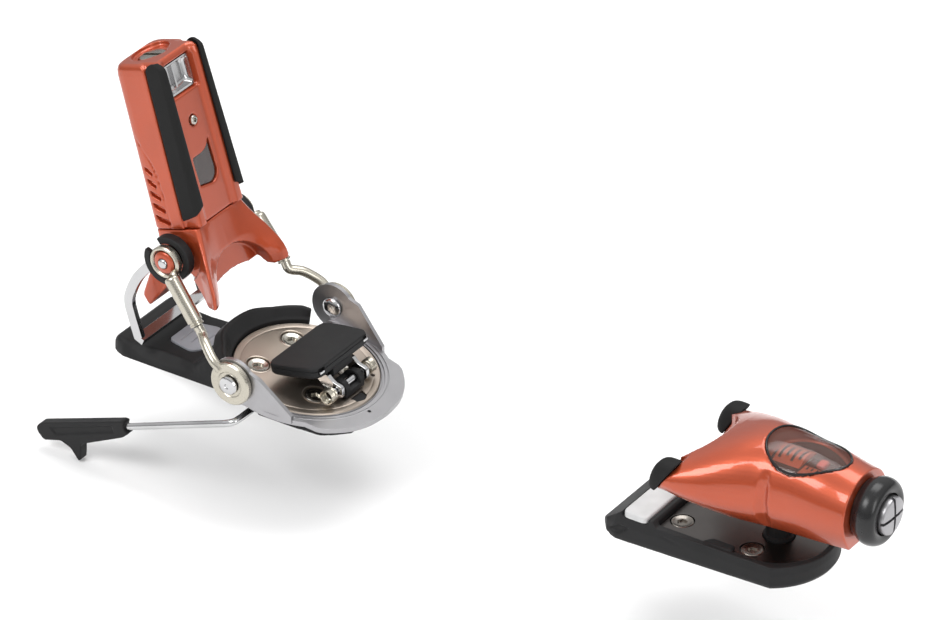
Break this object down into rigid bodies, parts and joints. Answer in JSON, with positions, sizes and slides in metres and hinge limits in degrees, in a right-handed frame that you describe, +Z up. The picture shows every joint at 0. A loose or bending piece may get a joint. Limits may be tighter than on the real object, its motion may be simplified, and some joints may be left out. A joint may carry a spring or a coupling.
{
  "type": "alpine turntable ski binding",
  "caption": "Ski binding pair: a swivelling toe unit with side wings and a turntable heel unit with leaning step-in tower, stirrup and spring brake.",
  "frame": {"origin": "on the heel base's underside, where it meets the ski, straight below the arms' hinge axis", "axes": "+X towards the ski tip, +Y to the skier's left, +Z up from the ski"},
  "size_m": [0.4257, 0.0964, 0.2011],
  "materials": {
    "orange_paint": "metallic copper-orange lacquer, glossy",
    "black_plastic": "matt moulded, fine grain",
    "gloss_black": "glossy moulded",
    "nickel": "satin nickel plate",
    "bronze_steel": "bronze-tinted plated steel, satin",
    "satin_aluminium": "satin",
    "polished_steel": "bright plated",
    "grey_plastic": "satin moulded",
    "white_plastic": "smooth low-friction",
    "clear_window": "clear moulded",
    "red_marker": "moulded"
  },
  "bodies": {
    "root": {"heel_base": "black_plastic", "heel_inlay": "grey_plastic", "heel_disc": "bronze_steel", "heel_screw_rear_left": "nickel", "heel_screw_rear_right": "nickel", "heel_screw_front_left": "nickel", "heel_screw_front_right": "nickel", "brake_mount": "black_plastic", "brake_pin": "polished_steel", "brake_spring_left": "nickel", "brake_spring_right": "nickel", "toe_base": "black_plastic", "toe_plate": "nickel", "toe_screw_rear_left": "nickel", "toe_screw_rear_right": "nickel", "toe_screw_front_left": "nickel", "toe_screw_front_right": "nickel", "toe_pivot_post": "polished_steel"},
    "turntable": {"turntable_ring": "satin_aluminium", "heel_guard": "black_plastic", "hinge_pin_left": "nickel", "hinge_pin_right": "nickel"},
    "arms": {"arm_rod_left": "nickel", "arm_rod_right": "nickel", "arm_sleeve_left": "polished_steel", "arm_sleeve_right": "polished_steel", "pivot_cam_left": "black_plastic", "pivot_cam_right": "black_plastic", "pivot_axle": "polished_steel"},
    "tower": {"tower_housing": "orange_paint", "heel_cup": "orange_paint", "side_strip_left": "black_plastic", "side_strip_right": "black_plastic", "pole_pocket": "nickel", "tower_rivet": "nickel", "heel_window": "clear_window", "pivot_cover_left": "black_plastic", "pivot_cover_right": "black_plastic", "heel_spring": "nickel"},
    "heel_screw": {"heel_setting_screw": "nickel"},
    "heel_nut": {"heel_indicator": "red_marker"},
    "stirrup": {"stirrup": "polished_steel"},
    "brake_arms": {"brake_arm_left": "polished_steel", "brake_arm_right": "polished_steel", "brake_foot_left": "black_plastic", "brake_foot_right": "black_plastic"},
    "brake_pedal": {"brake_pedal": "black_plastic", "brake_lever_left": "polished_steel", "brake_lever_right": "polished_steel"},
    "toe": {"toe_housing": "orange_paint", "toe_pad_left": "black_plastic", "toe_pad_right": "black_plastic", "toe_window": "clear_window", "toe_scale": "black_plastic", "toe_spring": "nickel", "toe_tie_rod": "polished_steel", "toe_end_cap": "gloss_black"},
    "toe_screw": {"toe_setting_screw": "nickel"},
    "toe_marker": {"toe_indicator": "red_marker"},
    "afd": {"afd_slider": "white_plastic"}
  },
  "joints": [
    {"name": "turntable_swivel", "type": "hinge", "parent": "root", "child": "turntable", "pos_m": [0.012, 0, 0.0108], "axis": [0.1736, 0, 0.9848], "range_deg": [-25, 25]},
    {"name": "arm_swing", "type": "hinge", "parent": "turntable", "child": "arms", "pos_m": [0, 0, 0.02], "axis": [0, 1, 0], "range_deg": [-10, 0]},
    {"name": "stirrup_swing", "type": "hinge", "parent": "arms", "child": "stirrup", "pos_m": [-0.0445, 0, 0.062], "axis": [0, 1, 0], "range_deg": [0, 29.4]},
    {"name": "tower_tilt", "type": "hinge", "parent": "arms", "child": "tower", "pos_m": [-0.0445, 0, 0.062], "axis": [0, 1, 0], "range_deg": [0, 35]},
    {"name": "heel_screw_turn", "type": "hinge", "parent": "tower", "child": "heel_screw", "pos_m": [-0.0445, 0, 0.062], "axis": [-0.284, 0, 0.9588], "range_deg": [-1080, 1080]},
    {"name": "heel_nut_travel", "type": "slide", "parent": "tower", "child": "heel_nut", "axis": [-0.284, 0, 0.9588], "range_m": [-0.0047, 0.0047]},
    {"name": "brake_swing", "type": "hinge", "parent": "root", "child": "brake_arms", "pos_m": [0.004, 0, 0.0026], "axis": [0, 1, 0], "range_deg": [0, 21], "stiffness_Nm_per_rad": 0.25, "springref_deg": -11.46},
    {"name": "pedal_press", "type": "hinge", "parent": "root", "child": "brake_pedal", "pos_m": [0.035, 0, 0.012], "axis": [0, 1, 0], "range_deg": [-7.6, 0]},
    {"name": "toe_swivel", "type": "hinge", "parent": "root", "child": "toe", "pos_m": [0.262, 0, 0], "axis": [0, 0, 1], "range_deg": [-25, 25], "stiffness_Nm_per_rad": 2},
    {"name": "toe_screw_turn", "type": "hinge", "parent": "toe", "child": "toe_screw", "pos_m": [0.262, 0, 0.0405], "axis": [1, 0, 0], "range_deg": [-1080, 1080]},
    {"name": "toe_marker_travel", "type": "slide", "parent": "toe", "child": "toe_marker", "axis": [1, 0, 0], "range_m": [-0.0038, 0.0038]},
    {"name": "afd_slide", "type": "slide", "parent": "root", "child": "afd", "axis": [0, 1, 0], "range_m": [-0.008, 0.008], "stiffness_N_per_m": 200}
  ],
  "couplings": [
    {"joint": "stirrup_swing", "follows": "arm_swing", "ratio": -2.9},
    {"joint": "heel_nut_travel", "follows": "heel_screw_turn", "m_per_rad": 0.00023873},
    {"joint": "pedal_press", "follows": "brake_swing", "ratio": -0.36},
    {"joint": "toe_marker_travel", "follows": "toe_screw_turn", "m_per_rad": 0.00019099}
  ]
}
